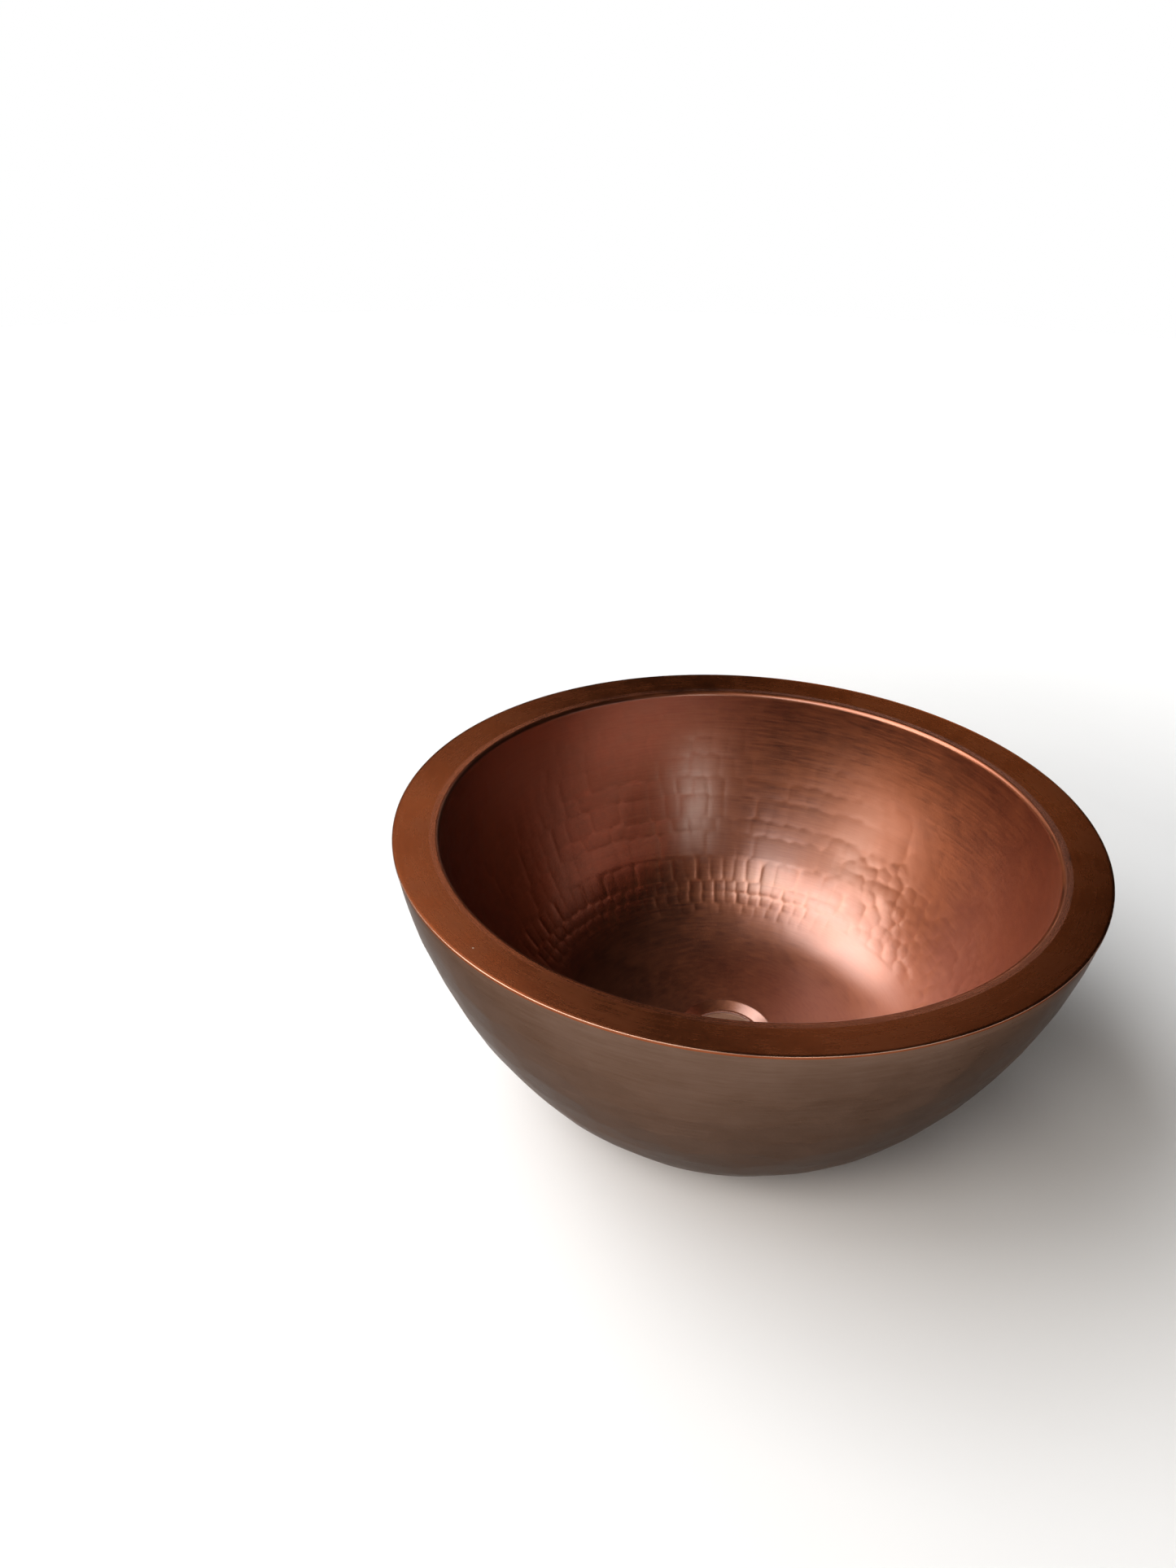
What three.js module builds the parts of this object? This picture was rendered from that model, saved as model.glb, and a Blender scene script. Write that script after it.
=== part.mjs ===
// Double-walled hammered copper vessel basin: a raised inner bowl with a pressed drain dish, an outer
// shell, a dished rim ring that bridges the two walls, a base disc, a drain collar between the dish and
// the base, and the brazed beads that fasten them. Every piece is turned about the Z axis.
// Millimetres, +Z up, origin at the middle of the flat base.
import * as THREE from "three";

// Driving dimensions
const RIM_RADIUS = 203.2; // outer edge of the rim
const HEIGHT = 177.8; // flat base to the outer edge of the rim
const RIM_WIDTH = 26.8; // outer edge of the rim to the inner wall's mouth
const RIM_FALL = 2; // how far the rim dips from its outer edge to the lip's crest
const RIM_EDGE_ROUND = 1.2; // rounding of the rim's outer top edge
const RIM_OVERHANG = 0.5; // rim's edge past the curve of the shell's wall
const LIP_RADIUS = 3; // rolled lip between the rim and the inner wall
const LIP_FLANGE = 3; // flat part of the lip, crest to the rim seam
const SHEET = 1.5; // copper sheet of both bowls, the rim and the base

// Outer shell: radius falls from the rim to the base as 1 - depth^HOLLOW, to the power 1 / BELLY
const BASE_RADIUS = 87.9; // where the shell meets the surface that it stands on
const BASE_OPENING = 82; // hole in the shell's flat bottom, which the base disc fills
const SHELL_HOLLOW = 1.406;
const SHELL_BELLY = 1.636;
const BAND_DEPTH = 6; // the shell is a straight band from the rim down to this depth

// Inner bowl: a wall down to a soft crease, then a bottom that flattens towards the drain dish
const FLOOR_HEIGHT = 17.8; // base to the inner floor beside the dish
const CREASE_HEIGHT = 61.8; // base to the crease
const CREASE_SPACE = 18.3; // outer shell's surface to the inner wall at the crease, measured level
const WALL_CURVE = 1.75;
const FLOOR_CURVE = 3.83;

// Drain
const DRAIN_RADIUS = 22.2; // hole for a standard basin waste
const DISH_WIDTH = 7.8; // edge of the hole to the edge of the dish
const DISH_DROP = 3.4; // inner floor down to the seat at the hole's edge, as a straight cone
const DISH_SEAT = 1.2; // flat seat round the hole
const COLLAR_WALL = 2;

// Brazing
const GAP = 0.3; // clearance between neighbouring pieces, and between a piece and its bead
const BEAD = 2.5; // leg of a corner bead
const BEAD_RISE = 1.5; // height of a bead laid along a butt joint
const BEAD_LAP = 2.8; // how far that bead reaches to each side of its joint

// Fineness
const SEGMENTS = 60; // facets round the axis
const WALL_STEPS = 8;
const FLOOR_STEPS = 9;
const SHELL_STEPS = 14;
const SHELL_SPACING = 1.5; // draws the shell's rings closer together towards the base
const ROUND_STEPS = 3;

const MOUTH_RADIUS = RIM_RADIUS - RIM_WIDTH;
const LIP_CREST = MOUTH_RADIUS + LIP_RADIUS;
const SEAM_RADIUS = LIP_CREST + LIP_FLANGE;
const CREST_HEIGHT = HEIGHT - RIM_FALL;
const SHELL_RADIUS = RIM_RADIUS - RIM_OVERHANG;
const DISH_RADIUS = DRAIN_RADIUS + DISH_WIDTH;
const SEAT_RADIUS = DRAIN_RADIUS + DISH_SEAT;
const SEAT_HEIGHT = FLOOR_HEIGHT - DISH_DROP;
const DISH_SLOPE = Math.atan2(DISH_DROP, DISH_RADIUS - SEAT_RADIUS);
const COLLAR_RADIUS = DRAIN_RADIUS + COLLAR_WALL;
const COLLAR_HEIGHT = SEAT_HEIGHT - SHEET - GAP;

const copper = (name, color, roughness) =>
  new THREE.MeshStandardMaterial({ name, color, roughness, metalness: 1 });
const INNER_COPPER = copper("hammered_copper", 0x8a4d38, 0.34);
const OUTER_COPPER = copper("outer_copper", 0x6f4a37, 0.42);
const RIM_COPPER = copper("rim_copper", 0x5f2f20, 0.38);
const INSIDE_COPPER = copper("inside_copper", 0x9a5a3c, 0.5);
const BRAZE = copper("braze", 0xa8793f, 0.55);

const point = (radius, height) => new THREE.Vector2(radius, height);
const evenly = (steps, make) => Array.from({ length: steps + 1 }, (_, i) => make(i / steps));

// A line moved to its left by a distance. Every outline here runs with the metal on its left.
function offset(line, distance) {
  const direction = (i) => line[i + 1].clone().sub(line[i]).normalize();
  return line.map((at, i) => {
    const before = direction(Math.max(i - 1, 0));
    const after = direction(Math.min(i, line.length - 2));
    const along = before.clone().add(after).normalize();
    const reach = distance / along.dot(after);
    return point(at.x - along.y * reach, at.y + along.x * reach);
  });
}

// Outline of a piece of sheet from the line of its visible face.
const sheet = (face) => [...face, ...offset(face, SHEET).reverse()];

function turned(name, outline, material) {
  const geometry = new THREE.LatheGeometry([...outline, outline[0]], SEGMENTS).rotateX(Math.PI / 2);
  const mesh = new THREE.Mesh(geometry, material);
  mesh.name = name;
  return mesh;
}

// The shell's outer surface.
function shellRadius(height) {
  const depth = (HEIGHT - height) / HEIGHT;
  return BASE_RADIUS + (SHELL_RADIUS - BASE_RADIUS) * (1 - depth ** SHELL_HOLLOW) ** (1 / SHELL_BELLY);
}

const BAND_RADIUS = shellRadius(HEIGHT - BAND_DEPTH);
const CREASE_RADIUS = shellRadius(CREASE_HEIGHT) - CREASE_SPACE;

const rimTop = (radius) => HEIGHT - (RIM_FALL * (RIM_RADIUS - radius)) / (RIM_RADIUS - LIP_CREST);
const rimUnderside = (radius) => rimTop(radius) - SHEET;
const underRim = (radius) => rimUnderside(radius) - GAP;

function lipPoint(share) {
  const angle = ((1 + share) * Math.PI) / 2;
  const middle = CREST_HEIGHT - LIP_RADIUS;
  return point(LIP_CREST + LIP_RADIUS * Math.cos(angle), middle + LIP_RADIUS * Math.sin(angle));
}

function wallPoint(share) {
  const top = CREST_HEIGHT - LIP_RADIUS;
  const radius = MOUTH_RADIUS - (MOUTH_RADIUS - CREASE_RADIUS) * share ** WALL_CURVE;
  return point(radius, top - (top - CREASE_HEIGHT) * share);
}

function floorPoint(share) {
  const radius = CREASE_RADIUS - (CREASE_RADIUS - DISH_RADIUS) * share;
  return point(radius, FLOOR_HEIGHT + (CREASE_HEIGHT - FLOOR_HEIGHT) * (1 - share) ** FLOOR_CURVE);
}

// Height of the line that runs one clearance under the dish's cone.
function underDish(radius) {
  const cone = SEAT_HEIGHT + (radius - SEAT_RADIUS) * Math.tan(DISH_SLOPE);
  return cone - (SHEET + GAP) / Math.cos(DISH_SLOPE);
}

// Inner bowl's visible face, from the rim seam over the lip and down to the drain hole.
function bowlFace() {
  return [
    point(SEAM_RADIUS, rimTop(SEAM_RADIUS)),
    ...evenly(ROUND_STEPS, lipPoint),
    ...evenly(WALL_STEPS, wallPoint).slice(1),
    ...evenly(FLOOR_STEPS, floorPoint).slice(1),
    point(SEAT_RADIUS, SEAT_HEIGHT),
    point(DRAIN_RADIUS, SEAT_HEIGHT),
  ];
}

// Shell's visible face, from the hole in its flat bottom up to just under the rim.
function shellFace() {
  const side = evenly(SHELL_STEPS, (share) => {
    const height = (HEIGHT - BAND_DEPTH) * share ** SHELL_SPACING;
    return point(shellRadius(height), height);
  });
  return [point(BASE_OPENING, 0), ...side, point(BAND_RADIUS, underRim(BAND_RADIUS - SHEET))];
}

function rimOutline() {
  const inner = SEAM_RADIUS + GAP;
  const middle = RIM_RADIUS - RIM_EDGE_ROUND;
  const edge = evenly(ROUND_STEPS, (share) => {
    const angle = (share * Math.PI) / 2;
    const height = rimTop(middle) - RIM_EDGE_ROUND * (1 - Math.sin(angle));
    return point(middle + RIM_EDGE_ROUND * Math.cos(angle), height);
  });
  return [
    point(inner, rimUnderside(inner)),
    point(RIM_RADIUS, rimUnderside(RIM_RADIUS)),
    ...edge,
    point(inner, rimTop(inner)),
  ];
}

function ringOutline(inner, outer, bottom, top) {
  return [point(inner, bottom), point(outer, bottom), point(outer, top), point(inner, top)];
}

// A bead along a butt joint: above it where its rise is positive, hanging under it where negative.
function jointBead(joint, surface, rise) {
  const crown = BEAD_LAP / 2;
  const outline = [
    point(joint - BEAD_LAP, surface(joint - BEAD_LAP)),
    point(joint + BEAD_LAP, surface(joint + BEAD_LAP)),
    point(joint + crown, surface(joint + crown) + rise),
    point(joint - crown, surface(joint - crown) + rise),
  ];
  return rise > 0 ? outline : outline.reverse();
}

// The bead in the corner between the shell's band and the rim above it.
function rimCornerBead() {
  const wall = BAND_RADIUS - SHEET - GAP;
  const tip = wall - BEAD;
  return [point(wall, underRim(wall) - BEAD), point(wall, underRim(wall)), point(tip, underRim(tip))];
}

// The bead in the corner between the collar and the base disc.
function collarLowerBead() {
  const wall = COLLAR_RADIUS + GAP;
  const floor = SHEET + GAP;
  return [point(wall, floor), point(wall + BEAD, floor), point(wall, floor + BEAD)];
}

// The bead in the corner between the collar and the underside of the dish.
function collarUpperBead() {
  const wall = COLLAR_RADIUS + GAP;
  const tip = wall + BEAD;
  return [point(wall, underDish(wall) - BEAD), point(tip, underDish(tip)), point(wall, underDish(wall))];
}

const basin = new THREE.Group();
basin.add(
  turned("inner_bowl", sheet(bowlFace()), INNER_COPPER),
  turned("outer_shell", sheet(shellFace()), OUTER_COPPER),
  turned("rim_ring", rimOutline(), RIM_COPPER),
  turned("base_disc", ringOutline(COLLAR_RADIUS + GAP, BASE_OPENING - GAP, 0, SHEET), OUTER_COPPER),
  turned("drain_collar", ringOutline(DRAIN_RADIUS, COLLAR_RADIUS, 0, COLLAR_HEIGHT), INSIDE_COPPER),
  turned("rim_seam_braze", jointBead(SEAM_RADIUS + GAP / 2, underRim, -BEAD_RISE), BRAZE),
  turned("rim_shell_braze", rimCornerBead(), BRAZE),
  turned("base_braze", jointBead(BASE_OPENING - GAP / 2, () => SHEET + GAP, BEAD_RISE), BRAZE),
  turned("collar_lower_braze", collarLowerBead(), BRAZE),
  turned("collar_upper_braze", collarUpperBead(), BRAZE),
);
export default basin;
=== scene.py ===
"""Double-walled hammered copper vessel basin in an antique brown finish, on a pale studio floor."""

import math
from types import SimpleNamespace

import bpy
import numpy as np
from mathutils import Matrix, Vector

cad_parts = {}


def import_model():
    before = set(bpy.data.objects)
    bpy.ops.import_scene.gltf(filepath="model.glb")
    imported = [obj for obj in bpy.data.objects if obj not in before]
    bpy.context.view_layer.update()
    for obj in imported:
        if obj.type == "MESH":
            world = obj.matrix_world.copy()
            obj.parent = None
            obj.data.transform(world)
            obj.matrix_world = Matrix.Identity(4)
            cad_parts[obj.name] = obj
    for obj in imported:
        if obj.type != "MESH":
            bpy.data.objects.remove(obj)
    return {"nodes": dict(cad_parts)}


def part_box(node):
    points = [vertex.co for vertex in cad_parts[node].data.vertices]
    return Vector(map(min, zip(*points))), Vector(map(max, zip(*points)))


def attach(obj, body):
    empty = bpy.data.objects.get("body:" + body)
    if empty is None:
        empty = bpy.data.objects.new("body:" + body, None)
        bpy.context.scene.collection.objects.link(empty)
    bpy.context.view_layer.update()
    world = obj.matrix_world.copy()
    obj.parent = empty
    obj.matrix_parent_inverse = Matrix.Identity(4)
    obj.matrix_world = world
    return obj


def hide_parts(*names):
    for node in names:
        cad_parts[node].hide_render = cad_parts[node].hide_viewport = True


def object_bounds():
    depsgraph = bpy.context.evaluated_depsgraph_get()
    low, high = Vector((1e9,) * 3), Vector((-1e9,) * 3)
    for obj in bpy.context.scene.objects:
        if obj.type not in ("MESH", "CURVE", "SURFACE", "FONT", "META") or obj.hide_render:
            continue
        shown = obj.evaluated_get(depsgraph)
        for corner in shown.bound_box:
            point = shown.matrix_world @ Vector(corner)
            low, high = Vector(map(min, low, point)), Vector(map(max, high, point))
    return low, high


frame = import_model()
CAD_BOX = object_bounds()

MM = 0.001

# Sizes that the frame gives, in metres
RIM_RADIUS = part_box("rim_ring")[1].x
RIM_HEIGHT = CAD_BOX[1].z
SEAM_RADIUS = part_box("inner_bowl")[1].x
BASE_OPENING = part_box("base_disc")[1].x
COLLAR_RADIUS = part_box("drain_collar")[1].x
COLLAR_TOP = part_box("drain_collar")[1].z
SEAT_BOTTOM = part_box("inner_bowl")[0].z
SHELL_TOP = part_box("outer_shell")[1].z
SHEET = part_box("base_disc")[1].z

# Sizes of the profiles, in metres
RIM_WIDTH = 26.8 * MM
RIM_FALL = 2 * MM
RIM_EDGE_ROUND = 0.35 * MM
RIM_OVERHANG = 0.5 * MM
LIP_RADIUS = 3 * MM
BASE_RADIUS = 87.9 * MM
BAND_DEPTH = 6 * MM
CREASE_HEIGHT = 61.8 * MM
CREASE_SPACE = 18.3 * MM
CREASE_BLEND = 14 * MM
DISH_WIDTH = 7.8 * MM
DISH_DROP = 3.4 * MM
DISH_SEAT = 1.2 * MM
DISH_FOLD = 1.5 * MM
HOLE_EDGE = 0.3 * MM
BURR = 0.25 * MM
COLLAR_WALL = 2 * MM
RING_BEVEL = 0.25 * MM
HAIRLINE = 0.04 * MM

# How the profiles bend, as exponents, and how often the crease is smoothed
SHELL_HOLLOW = 1.406
SHELL_BELLY = 1.636
WALL_CURVE = 1.75
FLOOR_CURVE = 3.83
CREASE_SOFTENING = 14

# Relief: edges sharper than this angle stay sharp, and marks that rise this far count as full ridges
SHARP_ANGLE = math.radians(40)
FULL_RIDGE = 0.2 * MM
DEEP = 0.19 * MM
MIDDLING = 0.085 * MM
FAINT = 0.035 * MM
WAVES = 9

# The freer marks lie round this heading, and give way to the regular rows between these two angles from it
LOOSE_SIDE = math.radians(-10)
LOOSE_FULL = math.radians(45)
LOOSE_END = math.radians(75)

# Fineness of the lines along the turning, and the finish of the lip
SCRATCH_PITCH = 1300.0
STREAK_PITCH = 620.0
LIP_ROUGHNESS = 0.25
LIP_COAT = 0.05
PALE_SPECK = (0.75, 0.62, 0.5, 1)
# The outer top edge's colour: copper where the patina wears, also a painted highlight.
BARE_COPPER_SHEEN = (0.52, 0.31, 0.22, 1)

# The studio, in metres: the floor starts to glow at one distance from the basin and is brightest at the other
FLOOR_REACH = 3.2
FLOOR_GLOW_START = 0.5
FLOOR_GLOW_FULL = 1.5
FLOOR_GLOW = 0.8
LIGHT_DISTANCE = 4
COOL = (0.96, 0.98, 1)
WARM = (1, 0.9, 0.8)

MOUTH_RADIUS = RIM_RADIUS - RIM_WIDTH
LIP_CREST = MOUTH_RADIUS + LIP_RADIUS
CREST_HEIGHT = RIM_HEIGHT - RIM_FALL
DRAIN_RADIUS = COLLAR_RADIUS - COLLAR_WALL
SEAT_HEIGHT = SEAT_BOTTOM + SHEET
SEAT_RADIUS = DRAIN_RADIUS + DISH_SEAT
FLOOR_HEIGHT = SEAT_HEIGHT + DISH_DROP
DISH_RADIUS = DRAIN_RADIUS + DISH_WIDTH
SHELL_RADIUS = RIM_RADIUS - RIM_OVERHANG


def shell_radius(height):
    depth = np.clip((RIM_HEIGHT - height) / RIM_HEIGHT, 0, 1)
    swell = (1 - depth**SHELL_HOLLOW) ** (1 / SHELL_BELLY)
    return BASE_RADIUS + (SHELL_RADIUS - BASE_RADIUS) * swell


BAND_RADIUS = float(shell_radius(RIM_HEIGHT - BAND_DEPTH))
CREASE_RADIUS = float(shell_radius(CREASE_HEIGHT)) - CREASE_SPACE


def rim_top(radius):
    return RIM_HEIGHT - RIM_FALL * (RIM_RADIUS - radius) / (RIM_RADIUS - LIP_CREST)


# Outlines, as arrays of (radius, height)


def line(*points):
    return np.array(points, dtype=float)


def arc(centre, radius, start, end, steps=10):
    angles = np.radians(np.linspace(start, end, steps + 1))
    return np.stack([centre[0] + radius * np.cos(angles), centre[1] + radius * np.sin(angles)], 1)


def bowl_wall():
    share = np.linspace(0, 1, 200)
    top = CREST_HEIGHT - LIP_RADIUS
    radius = MOUTH_RADIUS - (MOUTH_RADIUS - CREASE_RADIUS) * share**WALL_CURVE
    return np.stack([radius, top - (top - CREASE_HEIGHT) * share], 1)


def bowl_floor():
    share = np.linspace(0, 1, 300)
    radius = CREASE_RADIUS - (CREASE_RADIUS - DISH_RADIUS) * share
    height = FLOOR_HEIGHT + (CREASE_HEIGHT - FLOOR_HEIGHT) * (1 - share) ** FLOOR_CURVE
    return np.stack([radius, height], 1)


def bowl_side():
    """Wall and bottom in one line, with the crease between them softened as hammering leaves it."""
    side = respaced(np.concatenate([bowl_wall(), bowl_floor()[1:-4]]), 1.1 * MM)
    soft = side.copy()
    for _ in range(CREASE_SOFTENING):
        soft[1:-1] = (soft[:-2] + 2 * soft[1:-1] + soft[2:]) / 4
    share = np.exp(-(((side[:, 1] - CREASE_HEIGHT) / CREASE_BLEND) ** 2))[:, None]
    return side * (1 - share) + soft * share


def dish_side():
    """The dish's straight cone, with a small soft fold where it leaves the floor."""
    slope = math.atan2(DISH_DROP, DISH_RADIUS - SEAT_RADIUS)
    reach = DISH_FOLD * math.tan(slope / 2)
    fold = arc((DISH_RADIUS + reach, FLOOR_HEIGHT - DISH_FOLD), DISH_FOLD, 90, 90 + math.degrees(slope), 6)
    return np.concatenate([fold, line((SEAT_RADIUS, SEAT_HEIGHT))])


def shell_side():
    share = np.linspace(0, 1, 300)
    height = (RIM_HEIGHT - BAND_DEPTH) * share**2
    return np.stack([shell_radius(height), height], 1)


def distances(points):
    """How far along the line each of its points is."""
    steps = np.linalg.norm(np.diff(points, axis=0), axis=1)
    return np.concatenate([[0], np.cumsum(steps)])


def respaced(points, spacing):
    """The same line with its points evenly apart."""
    length = distances(points)
    count = max(2, round(length[-1] / spacing) + 1)
    at = np.linspace(0, length[-1], count)
    return np.stack([np.interp(at, length, points[:, k]) for k in (0, 1)], 1)


def normals(points):
    """The direction on each point's left, as the line runs."""
    along = np.gradient(points, axis=0)
    along /= np.linalg.norm(along, axis=1)[:, None]
    return np.stack([-along[:, 1], along[:, 0]], 1)


# Meshes


def headings(segments):
    return np.arange(segments) * 2 * math.pi / segments


def proud(outline, face, rise):
    """How the outline's points move, for turned(), where its first ones are a face that rises so far."""
    push = np.zeros((len(outline), rise.shape[1], 2))
    push[: len(face)] = rise[..., None] * -normals(face)[:, None, :]
    return push


def turned(name, outline, segments, push=None):
    """A closed body of revolution. push moves each outline point at each angle, as (points, segments, 2)."""
    angle = headings(segments)
    section = np.repeat(outline[:, None, :], segments, axis=1)
    if push is not None:
        section = section + push
    radius, height = section[..., 0], section[..., 1]
    vertices = np.stack([radius * np.cos(angle), radius * np.sin(angle), height], -1).reshape(-1, 3)
    ring = np.arange(len(outline))[:, None] * segments
    after = (ring + segments) % (len(outline) * segments)
    column = np.arange(segments)[None, :]
    beside = (column + 1) % segments
    faces = np.stack([ring + column, ring + beside, after + beside, after + column], -1).reshape(-1, 4)
    mesh = bpy.data.meshes.new(name)
    mesh.vertices.add(len(vertices))
    mesh.vertices.foreach_set("co", vertices.ravel())
    mesh.loops.add(faces.size)
    mesh.loops.foreach_set("vertex_index", faces.ravel().astype(np.int32))
    mesh.polygons.add(len(faces))
    mesh.polygons.foreach_set("loop_start", np.arange(0, faces.size, 4, dtype=np.int32))
    mesh.polygons.foreach_set("use_smooth", np.ones(len(faces), dtype=bool))
    mesh.update(calc_edges=True)
    mesh.validate()
    mesh.set_sharp_from_angle(angle=SHARP_ANGLE)
    piece = bpy.data.objects.new(name, mesh)
    bpy.context.collection.objects.link(piece)
    return piece


def place(piece, material, slot, *nodes):
    piece.data.materials.append(material)
    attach(piece, "root")
    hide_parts(*nodes)


# Hammer marks


class Marks:
    """Rows of overlapping hammer marks round a turned face: shallow dishes, with ridges where they meet."""

    def __init__(self, rows, seed):
        """rows are (height, mark width, radius there, depth, tilt, looseness), from the line's start on."""
        draw = np.random.RandomState(seed)
        self.rows = []
        start = 0.0
        for height, width, radius, depth, tilt, loose in rows:
            count = max(3, round(2 * math.pi * radius / width))
            self.rows.append(
                {
                    "middle": start + height / 2,
                    "half": height / 2,
                    "count": count,
                    "depth": depth,
                    "turn": draw.rand() * 2 * math.pi,
                    "across": (draw.rand(count) - 0.5) * loose,
                    "along": (draw.rand(count) - 0.5) * loose,
                    "lift": (draw.rand(count) - 0.5) * 0.5 * depth * loose,
                    "lean": (draw.rand(2, count) - 0.5) * 2 * tilt,
                }
            )
            start += height

    def rise(self, length, angle, power):
        """How far the face stands above its marks' lowest points. A higher power gives flatter marks."""
        length, angle = np.broadcast_arrays(length, angle)
        edges = np.array([row["middle"] + row["half"] for row in self.rows])
        home = np.clip(np.searchsorted(edges, length), 0, len(self.rows) - 1)
        lowest = np.full(length.shape, 1e9)
        for k in range(len(self.rows)):
            near = np.abs(home - k) <= 1
            if not near.any():
                continue
            row = self.rows[k]
            s, a = length[near], angle[near]
            turn = (a - row["turn"]) / (2 * math.pi) * row["count"]
            found = np.full(s.shape, 1e9)
            for side in (-1, 0, 1, 2):
                column = np.floor(turn).astype(int) + side
                mark = column % row["count"]
                u = 2 * (turn - column - row["across"][mark])
                v = (s - row["middle"]) / row["half"] - row["along"][mark]
                rise = row["depth"] * (np.abs(u) ** power + np.abs(v) ** power) + row["lift"][mark]
                rise = rise + row["lean"][0][mark] * u + row["lean"][1][mark] * v
                found = np.minimum(found, rise)
            lowest[near] = np.minimum(lowest[near], found)
        return lowest


def wander(length, angle, seed, size, wavelength, radius):
    """A slow uneven wave over a face, for sheet that was raised by hand."""
    draw = np.random.RandomState(seed)
    total = 0
    for _ in range(WAVES):
        turns = max(2, round(2 * math.pi * radius / (wavelength * (0.7 + draw.rand()))))
        pitch = (draw.rand() - 0.5) * 4 * math.pi / wavelength
        total = total + np.sin(angle * turns + length * pitch + draw.rand() * 2 * math.pi)
    return total * size / math.sqrt(WAVES)


def smooth_step(low, high, value):
    t = np.clip((value - low) / (high - low), 0, 1)
    return t * t * (3 - 2 * t)


# Materials


def shader(name):
    """A new material with its Principled node, and a function that adds nodes to it."""
    material = bpy.data.materials.new(name)
    material.use_nodes = True
    tree = material.node_tree
    surface = tree.nodes["Principled BSDF"]

    def add(kind, inputs=(), **settings):
        node = tree.nodes.new(kind)
        for key, value in settings.items():
            setattr(node, key, value)
        for key, value in dict(inputs).items():
            if isinstance(value, bpy.types.NodeSocket):
                tree.links.new(value, node.inputs[key])
            else:
                node.inputs[key].default_value = value
        return node

    return material, tree, surface, add


def maths(add, operation, a, b=0.0):
    return add("ShaderNodeMath", {0: a, 1: b}, operation=operation).outputs[0]


def ramp(add, value, low, high, to_low=0.0, to_high=1.0):
    node = add(
        "ShaderNodeMapRange",
        {"Value": value, "From Min": low, "From Max": high, "To Min": to_low, "To Max": to_high},
    )
    return node.outputs["Result"]


def blend(add, factor, a, b, mode="MIX"):
    node = add("ShaderNodeMix", data_type="RGBA", blend_type=mode)
    tree = node.id_data
    for socket, value in ((node.inputs[0], factor), (node.inputs[6], a), (node.inputs[7], b)):
        if isinstance(value, bpy.types.NodeSocket):
            tree.links.new(value, socket)
        else:
            socket.default_value = value
    return node.outputs[2]


def noise(add, where, scale, detail, roughness):
    inputs = {"Vector": where, "Scale": scale, "Detail": detail, "Roughness": roughness}
    return add("ShaderNodeTexNoise", inputs).outputs["Fac"]


def scaled(colour, share):
    return (*(share * part for part in colour), 1)


def along_turning(add, heading, across, around, pitch):
    """Where to look up a noise drawn out round the body. around and pitch are how fine it is each way."""
    lines = add("ShaderNodeSeparateXYZ", {0: heading}).outputs
    parts = {
        0: maths(add, "MULTIPLY", lines[0], around),
        1: maths(add, "MULTIPLY", lines[1], around),
        2: maths(add, "MULTIPLY", across, pitch),
    }
    return add("ShaderNodeCombineXYZ", parts).outputs[0]


def turned_patterns(add):
    """A point's place on the turned body, and the noises that every copper is made with."""
    where = add("ShaderNodeTexCoord").outputs["Object"]
    x, y, z = add("ShaderNodeSeparateXYZ", {0: where}).outputs
    flat = add("ShaderNodeCombineXYZ", {0: x, 1: y}).outputs[0]
    radius = add("ShaderNodeVectorMath", {0: flat}, operation="LENGTH").outputs["Value"]
    heading = add("ShaderNodeVectorMath", {0: flat}, operation="NORMALIZE").outputs[0]
    across = maths(add, "ADD", maths(add, "MULTIPLY", radius, 0.8), z)
    return SimpleNamespace(
        where=where,
        x=x,
        y=y,
        z=z,
        radius=radius,
        scratches=noise(add, along_turning(add, heading, across, 7.0, SCRATCH_PITCH), 2.0, 3.0, 0.65),
        streaks=noise(add, along_turning(add, heading, across, 8.0, STREAK_PITCH), 1.0, 3.0, 0.6),
        clouds=noise(add, where, 11.0, 4.0, 0.55),
        patches=noise(add, where, 38.0, 5.0, 0.6),
        grain=noise(add, where, 900.0, 2.0, 0.5),
    )


def patina(add, at, tone, shade, bloom, brush):
    """The tone, darker in slow clouds and paler in small ones, with fine lines along the turning."""
    colour = blend(add, ramp(add, at.clouds, 0.35, 0.68, 0.0, 0.6), (*tone, 1), (*shade, 1))
    colour = blend(add, ramp(add, at.patches, 0.42, 0.75, 0.0, 0.45), colour, (*bloom, 1))
    colour = blend(add, ramp(add, at.scratches, 0.35, 0.72, 0.0, 0.8 * brush), colour, (*bloom, 1))
    colour = blend(add, ramp(add, at.streaks, 0.5, 0.7, 0.0, 0.9 * brush), colour, (*bloom, 1))
    return blend(add, ramp(add, at.streaks, 0.5, 0.3, 0.0, 0.9 * brush), colour, (*shade, 1))


def painted_ridge_highlight_and_side_shade(add, at, colour, tone, bloom):
    """Paler ridges between the marks, a painted highlight, and painted shade, light and reflection across the
    bowl: darker towards -X and paler towards +X. The real finish may well be even."""
    ridge = add("ShaderNodeAttribute", attribute_name="ridge").outputs["Fac"]
    # Painted highlight: the ridges between the marks turn paler.
    colour = blend(add, ramp(add, ridge, 0.4, 1.0, 0.0, 0.3), colour, scaled(bloom, 1.35))
    # Painted shade towards -X, and painted light and reflection towards +X.
    colour = blend(add, ramp(add, at.x, 0.0, -0.11, 0.0, 0.75), colour, scaled(tone, 0.3))
    return blend(add, ramp(add, at.x, 0.04, 0.16, 0.0, 0.7), colour, scaled(tone, 1.7))


def specked(add, at, colour, share):
    """Pale dots in that share of small cells."""
    cells = add("ShaderNodeTexVoronoi", {"Vector": at.where, "Scale": 150.0, "Randomness": 1.0})
    chance = add("ShaderNodeSeparateXYZ", {0: cells.outputs["Color"]}).outputs[0]
    dot = maths(add, "LESS_THAN", cells.outputs["Distance"], 0.07)
    rare = maths(add, "LESS_THAN", chance, share)
    return blend(add, maths(add, "MULTIPLY", dot, rare), colour, PALE_SPECK)


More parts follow.
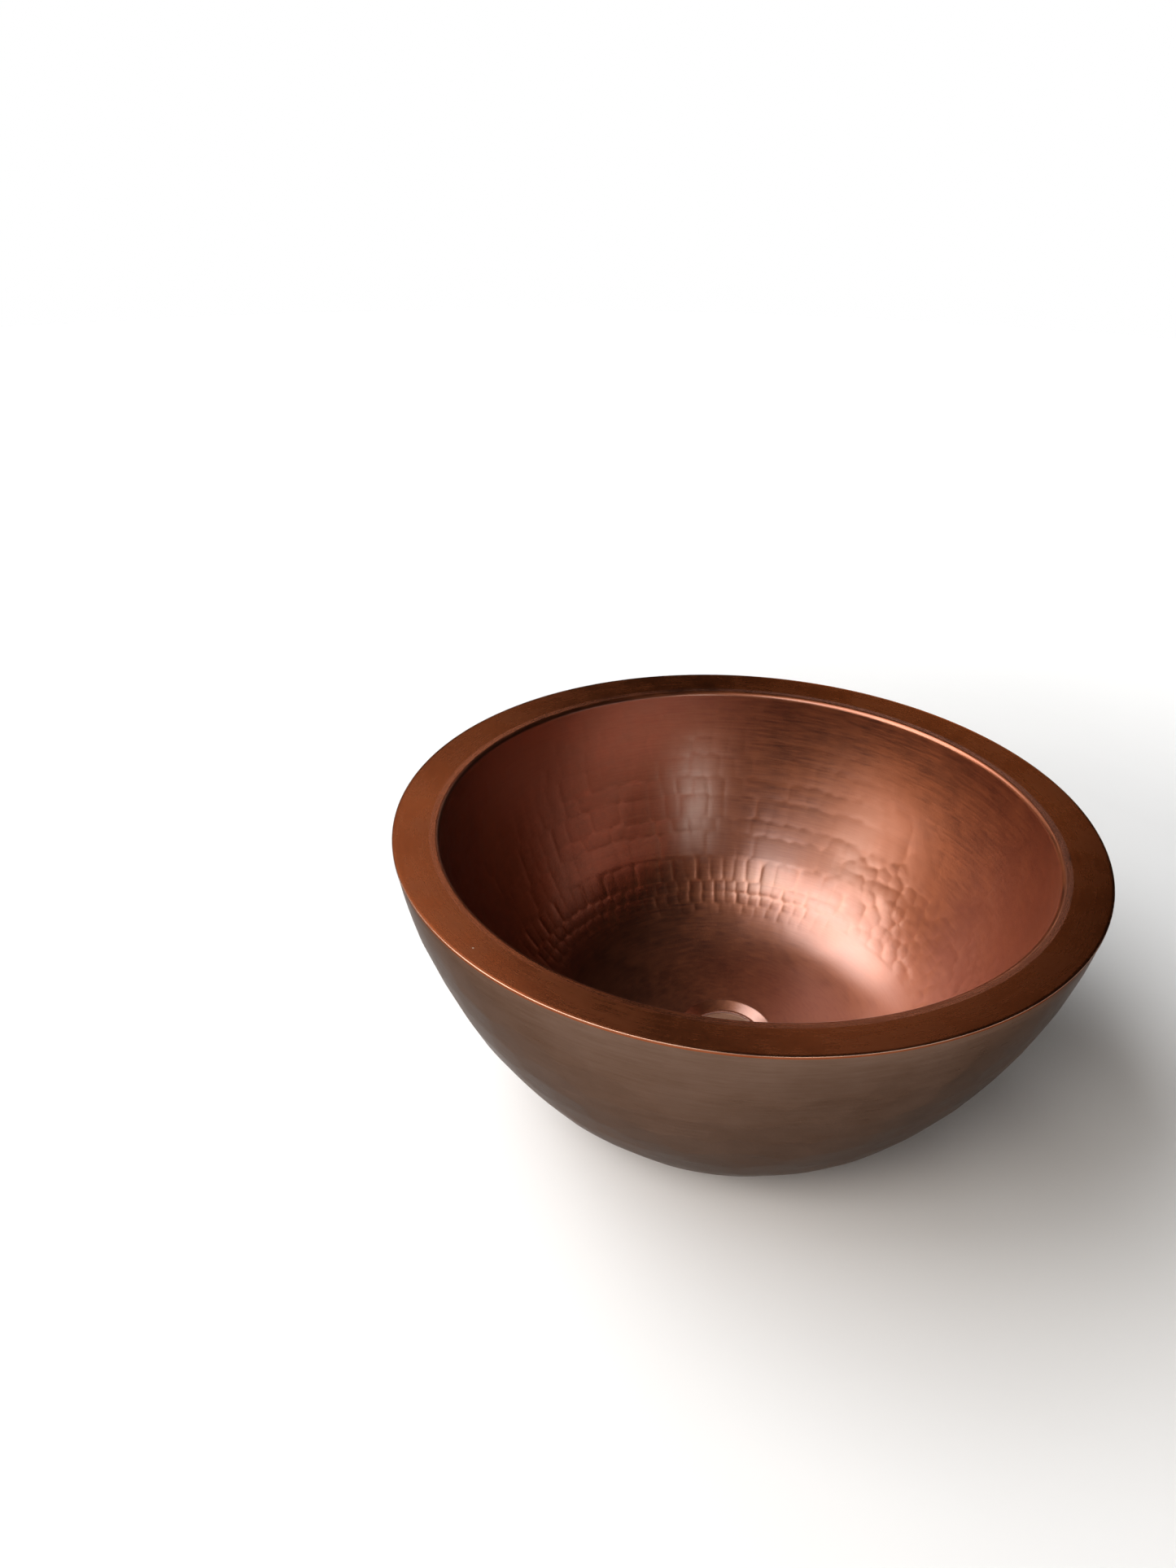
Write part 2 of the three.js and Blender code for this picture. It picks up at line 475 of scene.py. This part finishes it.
def worn_sheen_and_painted_shade(add, at, colour, tone):
    """Unpatinated copper at the outer top edge, where the patina wears, also a painted highlight along the
    edge;
    and painted shade where X and Y differ in sign, standing in for reflections. The real finish may well be
    even."""
    skew = maths(add, "MULTIPLY", at.x, at.y)
    # Painted shade: darker where X and Y differ in sign.
    colour = blend(add, ramp(add, skew, -0.002, -0.016, 0.0, 0.5), colour, scaled(tone, 0.3))
    # The outer top edge turns to unpatinated copper: wear that is also a painted highlight along the edge.
    worn_edge_sheen = ramp(add, at.radius, RIM_RADIUS - 0.5 * MM, RIM_RADIUS - 0.1 * MM)
    worn_edge_sheen = maths(add, "MULTIPLY", worn_edge_sheen, ramp(add, at.z, RIM_HEIGHT - 0.6 * MM, RIM_HEIGHT - 0.3 * MM))
    worn_edge_sheen = maths(add, "MULTIPLY", worn_edge_sheen, ramp(add, at.patches, 0.25, 0.6, 0.35, 1.0))
    return blend(add, worn_edge_sheen, colour, BARE_COPPER_SHEEN)


def unevenly_rough(add, at, roughness, brush):
    rough = maths(add, "ADD", ramp(add, at.patches, 0.3, 0.75, -0.05, 0.07), roughness)
    rough = maths(add, "ADD", rough, ramp(add, at.scratches, 0.3, 0.7, -0.05 * brush, 0.06 * brush))
    return maths(add, "ADD", rough, ramp(add, at.streaks, 0.3, 0.7, -0.1 * brush, 0.1 * brush))


def fine_relief(add, at, brush):
    relief = maths(add, "MULTIPLY", at.scratches, brush)
    relief = maths(add, "ADD", relief, maths(add, "MULTIPLY", at.grain, 0.25))
    relief = maths(add, "ADD", relief, maths(add, "MULTIPLY", at.streaks, 0.8 * brush))
    return add("ShaderNodeBump", {"Height": relief, "Strength": 0.35, "Distance": 0.00012}).outputs[0]


def polished_lip(add, at, tree, surface, colour, rough, roughness, coat, lip):
    """Over the rolled lip, the bowl's finish turns into the rim's. The coat is also thinner towards -X, as a
    stand-in for light in the photograph."""
    onto_lip = ramp(add, at.radius, MOUTH_RADIUS + 0.5 * MM, LIP_CREST - 0.5 * MM)
    colour = blend(add, onto_lip, colour, (*lip, 1))
    change = ramp(add, at.radius, MOUTH_RADIUS + MM, LIP_CREST, 0.0, LIP_ROUGHNESS - roughness)
    lacquer = ramp(add, at.radius, MOUTH_RADIUS, LIP_CREST - MM, coat, LIP_COAT)
    lacquer = maths(add, "MULTIPLY", lacquer, ramp(add, at.x, -0.12, 0.0, 0.5, 1.0))
    tree.links.new(lacquer, surface.inputs["Coat Weight"])
    return colour, maths(add, "ADD", rough, change)


def copper(
    name,
    tones,
    roughness,
    brush=0.5,
    specks=0.0,
    coat=0.15,
    edge=1.0,
    lip=None,
    worn_sheen_and_shade=False,
    hammered=False,
):
    """Patinated copper. tones are its colour, a darker one and a paler one. brush is how much its lines show,
    edge how bright it is at a glancing angle, and lip the colour that it takes over the rolled lip."""
    tone, shade, bloom = tones
    material, tree, surface, add = shader(name)
    at = turned_patterns(add)
    surface.inputs["Metallic"].default_value = 1.0
    surface.inputs["Coat Weight"].default_value = coat
    surface.inputs["Coat Roughness"].default_value = 0.28
    surface.inputs["Coat IOR"].default_value = 1.9
    surface.inputs["Specular Tint"].default_value = (edge, edge, edge, 1)
    colour = patina(add, at, tone, shade, bloom, brush)
    rough = unevenly_rough(add, at, roughness, brush)
    # Painted highlight on the ridges, and painted shade and light across the bowl.
    if hammered:
        colour = painted_ridge_highlight_and_side_shade(add, at, colour, tone, bloom)
    if specks:
        colour = specked(add, at, colour, specks)
    # The edge's wear, also a painted highlight, and painted shade on the rim.
    if worn_sheen_and_shade:
        colour = worn_sheen_and_painted_shade(add, at, colour, tone)
    if lip:
        colour, rough = polished_lip(add, at, tree, surface, colour, rough, roughness, coat, lip)
    tree.links.new(colour, surface.inputs["Base Color"])
    tree.links.new(rough, surface.inputs["Roughness"])
    tree.links.new(fine_relief(add, at, brush), surface.inputs["Normal"])
    return material


def floor_paper():
    """Pale paper that glows far from the basin, so that the far floor is as white as the room behind it."""
    material, tree, surface, add = shader("pale_paper")
    where = add("ShaderNodeTexCoord").outputs["Object"]
    grain = noise(add, where, 3.0, 3.0, 0.5)
    tone = blend(add, ramp(add, grain, 0.3, 0.7), (0.87, 0.87, 0.865, 1), (0.90, 0.90, 0.895, 1))
    tree.links.new(tone, surface.inputs["Base Color"])
    surface.inputs["Roughness"].default_value = 0.9
    away = add("ShaderNodeVectorMath", {0: where}, operation="LENGTH").outputs["Value"]
    glow = ramp(add, away, FLOOR_GLOW_START, FLOOR_GLOW_FULL, 0.0, FLOOR_GLOW)
    tree.links.new(glow, surface.inputs["Emission Strength"])
    return material


# Pieces


def hammered_rows(crease):
    """Rows of marks from the lip down: (height, mark width, radius there, depth, tilt, looseness)."""
    band = [
        (0.017, 0.012, 0.176, 0.7 * FAINT, 0.01 * MM, 0.4),
        (0.014, 0.012, 0.174, 1.2 * FAINT, 0.015 * MM, 0.4),
        (0.013, 0.012, 0.171, 1.4 * FAINT, 0.015 * MM, 0.4),
        (0.016, 0.0115, 0.168, 0.7 * MIDDLING, 0.02 * MM, 0.4),
        (0.013, 0.0115, 0.163, 0.9 * MIDDLING, 0.02 * MM, 0.4),
        (0.017, 0.0115, 0.157, MIDDLING, 0.02 * MM, 0.4),
        (0.011, 0.0115, 0.150, MIDDLING, 0.02 * MM, 0.4),
    ]
    taken = sum(row[0] for row in band)
    above_crease = (crease - taken, 0.0115, 0.143, 0.8 * MIDDLING, 0.02 * MM, 0.4)
    below = [
        (0.018, 0.0092, 0.134, 0.9 * DEEP, 0.02 * MM, 0.35),
        (0.0088, 0.0083, 0.124, DEEP, 0.02 * MM, 0.25),
        (0.0088, 0.0083, 0.117, DEEP, 0.02 * MM, 0.25),
        (0.0088, 0.0083, 0.110, MIDDLING, 0.02 * MM, 0.3),
        (0.011, 0.011, 0.100, FAINT, 0.02 * MM, 0.3),
        (0.070, 0.020, 0.050, 0.2 * FAINT, 0.01 * MM, 0.3),
    ]
    return band + [above_crease] + below


def loose_rows():
    """Rows of the freer marks on the right-hand side, which wander over the crease."""
    tall = [
        (0.018, 0.0105, 0.176 - 0.006 * k, (0.02 + 0.007 * k) * MM, 0.03 * MM, 1.2)
        for k in range(5)
    ]
    small = [(0.0085, 0.008, 0.146 - 0.0055 * k, 0.09 * MM, 0.03 * MM, 1.2) for k in range(7)]
    bottom = [
        (0.012, 0.011, 0.100, 0.05 * MM, 0.02 * MM, 0.8),
        (0.07, 0.02, 0.05, 0.005 * MM, 0, 0.3),
    ]
    return tall + small + bottom


def bowl_relief(face, angle):
    """How far the marks rise on the bowl's face, and how far all of its relief does."""
    length = distances(face)
    start = np.argmin(np.abs(face[:, 1] - (CREST_HEIGHT - LIP_RADIUS)))
    length = (length - length[start])[:, None]
    crease = length[np.argmin(np.abs(face[:, 1] - CREASE_HEIGHT)), 0]
    drain = length[np.argmin(np.abs(face[:, 0] - DISH_RADIUS)), 0]
    turn = np.abs((angle - LOOSE_SIDE + math.pi) % (2 * math.pi) - math.pi)
    loose = 1 - smooth_step(LOOSE_FULL, LOOSE_END, turn)
    marks = Marks(hammered_rows(crease), 7).rise(length, angle, 3.2) * (1 - loose)
    marks = marks + Marks(loose_rows(), 31).rise(length, angle, 2.4) * loose
    marks = marks * smooth_step(0.0, 0.01, length) * (1 - smooth_step(drain - 0.06, drain - 0.04, length))
    wave = wander(length, angle, 11, 0.10 * MM, 0.06, 0.15)
    wave = wave * smooth_step(0.06, 0.13, face[:, 0])[:, None]
    rise = marks + wave * smooth_step(0.004, 0.03, length) * (1 - smooth_step(drain - 0.03, drain, length))
    crease_line = 0.08 * MM * np.exp(-(((length - crease) / (1.5 * MM)) ** 2))
    rise = rise - crease_line * (0.7 + 0.3 * np.sin(angle * 5)) * (1 - 0.7 * loose)
    return marks, rise


def inner_bowl(segments=900):
    flange = respaced(line((SEAM_RADIUS, rim_top(SEAM_RADIUS)), (LIP_CREST, CREST_HEIGHT)), 1 * MM)
    lip = arc((LIP_CREST, CREST_HEIGHT - LIP_RADIUS), LIP_RADIUS, 90, 180)
    dish = np.concatenate([dish_side(), line((DRAIN_RADIUS + HOLE_EDGE, SEAT_HEIGHT))])
    bore = line((DRAIN_RADIUS, SEAT_HEIGHT - HOLE_EDGE), (DRAIN_RADIUS, SEAT_HEIGHT - SHEET))
    face = np.concatenate([flange, lip[1:], bowl_side()[1:], respaced(dish, 0.5 * MM), bore])
    hole = len(face) - len(bore)
    under = (face + normals(face) * SHEET)[:hole][::-4]
    outline = np.concatenate([face, under])
    marks, rise = bowl_relief(face, headings(segments)[None, :])
    push = proud(outline, face, rise)
    push[hole - 1 : hole + 1, :, 0] -= np.random.RandomState(3).rand(segments) * BURR
    bowl = turned("hammered_inner_bowl", outline, segments, push)
    ridge = np.zeros((len(outline), segments))
    ridge[: len(face)] = marks / FULL_RIDGE
    bowl.data.attributes.new("ridge", "FLOAT", "POINT").data.foreach_set("value", ridge.ravel())
    return bowl


def outer_shell(segments=600):
    flat = line((BASE_OPENING + HAIRLINE, 0))
    side = respaced(shell_side(), 1.8 * MM)
    top = line((BAND_RADIUS, SHELL_TOP))
    face = np.concatenate([flat, side, top])
    inside = (face + normals(face) * SHEET)[::-5]
    inside[:, 1] = np.clip(inside[:, 1], SHEET, SHELL_TOP)
    outline = np.concatenate([face, inside])
    length = distances(face)[:, None]
    angle = headings(segments)[None, :]
    rows = [(0.021, 0.024, 0.10 + 0.012 * k, 0.15 * MM, 0.1 * MM, 0.8) for k in range(10)]
    rise = Marks(rows, 23).rise(length, angle, 2.0) + wander(length, angle, 5, 0.2 * MM, 0.08, 0.16)
    fade = smooth_step(0.008, 0.03, length) * (1 - smooth_step(length[-1] - 0.03, length[-1] - 0.006, length))
    return turned("outer_shell_skin", outline, segments, proud(outline, face, rise * fade))


def rim(segments=720):
    inner = SEAM_RADIUS
    middle = RIM_RADIUS - RIM_EDGE_ROUND
    low = line((inner, rim_top(inner) - SHEET), (RIM_RADIUS, rim_top(RIM_RADIUS) - SHEET))
    edge = arc((middle, rim_top(middle) - RIM_EDGE_ROUND), RIM_EDGE_ROUND, 0, 90, 6)
    top = respaced(line((middle, rim_top(middle)), (inner, rim_top(inner))), 1.5 * MM)[1:]
    return turned("rim_band", np.concatenate([low, edge, top]), segments)


def ring(name, inner, outer, bottom, top, segments=360):
    bevel = RING_BEVEL
    outline = line(
        (inner + bevel, bottom),
        (outer - bevel, bottom),
        (outer, bottom + bevel),
        (outer, top - bevel),
        (outer - bevel, top),
        (inner + bevel, top),
        (inner, top - bevel),
        (inner, bottom + bevel),
    )
    return turned(name, outline, segments)


def backdrop(material):
    bpy.ops.mesh.primitive_circle_add(vertices=96, radius=FLOOR_REACH, fill_type="NGON", location=(0, 0, 0))
    floor = bpy.context.object
    floor.name = "studio_floor"
    floor.data.materials.append(material)


def softbox(name, azimuth, elevation, across, tall, brightness, colour=(1, 1, 1)):
    """A soft light that faces the basin. Azimuth 0 is along +X and 90 along +Y. across and tall are how large
    it looks from the basin, all in degrees. Brightness 1 looks as bright as white paper."""
    a, e = math.radians(azimuth), math.radians(elevation)
    towards = Vector((math.cos(a) * math.cos(e), math.sin(a) * math.cos(e), math.sin(e)))
    lamp = bpy.data.lights.new(name, "AREA")
    lamp.shape = "RECTANGLE"
    lamp.size = 2 * LIGHT_DISTANCE * math.tan(math.radians(across / 2))
    lamp.size_y = 2 * LIGHT_DISTANCE * math.tan(math.radians(tall / 2))
    lamp.energy = brightness * math.pi * lamp.size * lamp.size_y
    lamp.color = colour
    holder = bpy.data.objects.new(name, lamp)
    holder.location = Vector((0, 0, RIM_HEIGHT / 2)) + towards * LIGHT_DISTANCE
    holder.rotation_euler = towards.to_track_quat("Z", "Y").to_euler()
    bpy.context.collection.objects.link(holder)


def camera():
    """Stands above the front edge and a little left, looking down across the mouth, as in the photograph."""
    pitch, roll = math.radians(29.38), math.radians(0.89)
    ahead = Vector((0, math.cos(pitch), -math.sin(pitch)))
    level = Vector((1, 0, 0))
    upright = level.cross(ahead)
    right = level * math.cos(roll) + upright * math.sin(roll)
    up = upright * math.cos(roll) - level * math.sin(roll)
    data = bpy.data.cameras.new("camera")
    data.sensor_fit = "AUTO"
    data.sensor_width = 36
    data.lens = 27.87
    data.clip_start = 0.01
    seat = bpy.data.objects.new("camera", data)
    turn = Matrix((right, up, -ahead)).transposed()
    seat.matrix_world = Matrix.Translation((-0.0912, -0.6082, RIM_HEIGHT + 0.3635)) @ turn.to_4x4()
    bpy.context.collection.objects.link(seat)
    bpy.context.scene.camera = seat


def world(seen, lit):
    """The room: bright where the camera looks past the floor, dim in what the copper reflects."""
    room = bpy.data.worlds.new("room")
    room.use_nodes = True
    tree = room.node_tree
    plain = tree.nodes["Background"]
    plain.inputs[0].default_value = (*lit, 1)
    paper = tree.nodes.new("ShaderNodeBackground")
    paper.inputs[0].default_value = (*seen, 1)
    path = tree.nodes.new("ShaderNodeLightPath")
    either = tree.nodes.new("ShaderNodeMixShader")
    tree.links.new(path.outputs["Is Camera Ray"], either.inputs[0])
    tree.links.new(plain.outputs[0], either.inputs[1])
    tree.links.new(paper.outputs[0], either.inputs[2])
    tree.links.new(either.outputs[0], tree.nodes["World Output"].inputs[0])
    bpy.context.scene.world = room


# The inner copper carries a painted ridge highlight, and painted shade and light across the bowl.
inner_copper = copper(
    "hammered_copper",
    ((0.265, 0.071, 0.022), (0.19, 0.043, 0.013), (0.32, 0.105, 0.042)),
    0.42,
    brush=0.65,
    coat=1.0,
    lip=(0.27, 0.065, 0.019),
    hammered=True,
)
outer_copper = copper(
    "outer_copper",
    ((0.152, 0.088, 0.060), (0.115, 0.062, 0.039), (0.195, 0.122, 0.090)),
    0.33,
    brush=0.35,
    coat=0.03,
    edge=0.42,
)
# The rim copper carries a painted edge highlight, and painted shade where X and Y differ in sign.
rim_copper = copper(
    "rim_copper",
    ((0.27, 0.065, 0.019), (0.20, 0.043, 0.012), (0.32, 0.10, 0.04)),
    0.26,
    brush=0.25,
    specks=0.05,
    coat=0.05,
    edge=0.4,
    worn_sheen_and_shade=True,
)
plain_copper = copper("plain_copper", ((0.4, 0.2, 0.12), (0.28, 0.13, 0.08), (0.5, 0.3, 0.2)), 0.5)
braze = copper("braze", ((0.5, 0.33, 0.16), (0.36, 0.22, 0.11), (0.6, 0.45, 0.25)), 0.55)

place(inner_bowl(), inner_copper, "hammered_copper", "inner_bowl")
place(outer_shell(), outer_copper, "outer_copper", "outer_shell")
place(rim(), rim_copper, "rim_copper", "rim_ring")
base_plate = ring("base_plate", COLLAR_RADIUS + HAIRLINE, BASE_OPENING, 0, SHEET)
place(base_plate, outer_copper, "base_copper", "base_disc")
drain_sleeve = ring("drain_sleeve", DRAIN_RADIUS, COLLAR_RADIUS, 0, COLLAR_TOP)
place(drain_sleeve, plain_copper, "inside_copper", "drain_collar")
for bead in ("rim_seam_braze", "rim_shell_braze", "base_braze", "collar_lower_braze", "collar_upper_braze"):
    for holder in frame["nodes"][bead].material_slots:
        holder.material = braze

backdrop(floor_paper())
bpy.context.scene.view_settings.view_transform = "Standard"
camera()
world((1.0, 1.0, 1.0), (0.01, 0.01, 0.01))
softbox("window_high", 175, 60, 42, 30, 3.8, COOL)
softbox("window_middle", 190, 40, 40, 22, 3.5, COOL)
softbox("window_low", 193, 20, 36, 16, 6.3, WARM)
softbox("window_back", 145, 45, 30, 30, 2.7, COOL)
softbox("front_high", 224, 45, 24, 22, 2.8, COOL)
softbox("front_near", 243, 33, 20, 14, 3.3, COOL)
softbox("front_right", 243, 50, 22, 18, 4.4, WARM)
softbox("front_low", 214, 8, 34, 14, 1.3, WARM)
softbox("front_middle", 222, 22, 24, 14, 1.2, WARM)
softbox("front_strip", 284, 15, 10, 18, 6.5, WARM)
softbox("right_low", 318, 5, 44, 10, 1.5)
softbox("back_low", 73, 26, 13, 7, 2.7)
softbox("back_left", 100, 39, 13, 8, 3.8)
